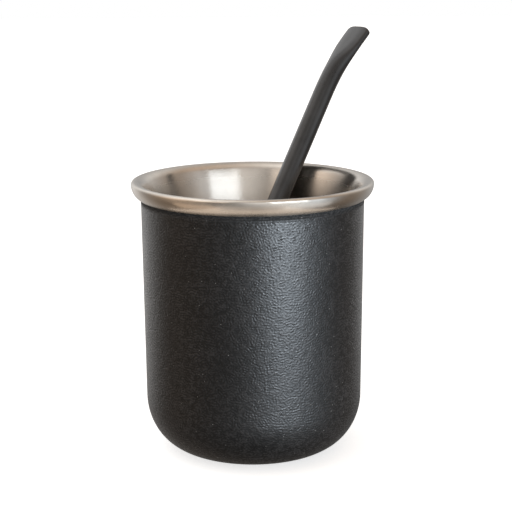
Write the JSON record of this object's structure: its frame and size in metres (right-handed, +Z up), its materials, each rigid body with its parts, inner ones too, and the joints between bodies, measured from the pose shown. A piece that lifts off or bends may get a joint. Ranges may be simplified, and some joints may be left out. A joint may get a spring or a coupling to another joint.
{
  "type": "mate cup with bombilla",
  "caption": "Empty steel mate cup with a black textured coat, a flared bare rim and a bare liner, with a bent black metal drinking straw leaning in it.",
  "frame": {"origin": "on the cup's axis at the underside of its base", "axes": "+Z up along the cup's axis; the straw leans towards +X and +Y"},
  "size_m": [0.0826, 0.0964, 0.138],
  "materials": {
    "black_coat": "fine wrinkled powder coat, matt to semi-matt, with a grain just under a millimetre",
    "satin_steel": "satin steel spun round the mouth, warm in its reflections",
    "black_metal": "smooth satin black coating on metal"
  },
  "bodies": {
    "root": {"outer_shell": "black_coat", "liner": "satin_steel", "bombilla": "black_metal"}
  },
  "joints": []
}
